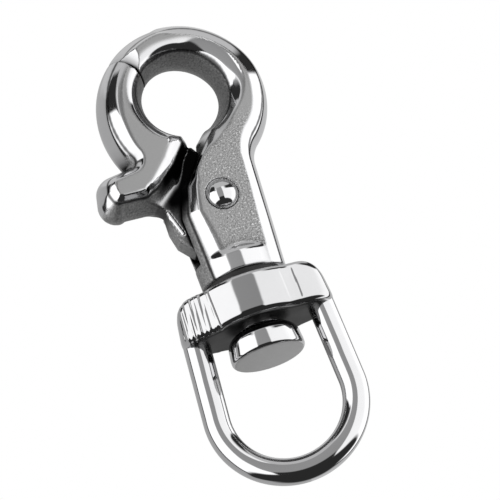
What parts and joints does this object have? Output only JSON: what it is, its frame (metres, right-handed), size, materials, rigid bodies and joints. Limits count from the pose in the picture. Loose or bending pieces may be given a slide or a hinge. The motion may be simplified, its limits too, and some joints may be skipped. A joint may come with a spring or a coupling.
{
  "type": "trigger snap hook with swivel bail",
  "caption": "Cast stainless snap shackle: sprung thumb-trigger jaw closes a round hook eye, with a rod bail that swivels on a headed pin.",
  "frame": {"origin": "centre of the round hook eye, on the mid-plane of the castings", "axes": "+Z along the swivel axis from the bail up to the hook eye, +X from the eye towards the spine side, -Y towards the front face with the rivet head"},
  "size_m": [0.0365, 0.0194, 0.0903],
  "materials": {
    "cast_steel": "polished cast stainless steel with grained flat faces",
    "jaw_steel": "polished cast stainless steel",
    "polished_steel": "polished stainless steel",
    "spring_steel": "drawn stainless spring wire",
    "washer_black": "black acetal bearing washer",
    "pin_steel": "turned stainless steel, polished side and satin end",
    "collar_steel": "polished stainless steel",
    "rod_steel": "polished stainless rod"
  },
  "bodies": {
    "hook": {"hook_body": "cast_steel", "pivot_rivet": "polished_steel", "jaw_spring": "spring_steel", "thrust_washer": "washer_black", "swivel_pin": "pin_steel"},
    "jaw": {"trigger_jaw": "jaw_steel"},
    "swivel": {"swivel_collar": "collar_steel", "bail": "rod_steel"}
  },
  "joints": [
    {"name": "jaw_pivot", "type": "hinge", "parent": "hook", "child": "jaw", "pos_m": [0.00045, 0, -0.02105], "axis": [0, -1, 0], "range_deg": [0, 25], "stiffness_Nm_per_rad": 0.3, "springref_deg": -11.46, "deforming": ["jaw_spring"]},
    {"name": "swivel_spin", "type": "hinge", "parent": "hook", "child": "swivel", "pos_m": [0.00045, 0, -0.04155], "axis": [0, 0, 1], "continuous": true}
  ]
}
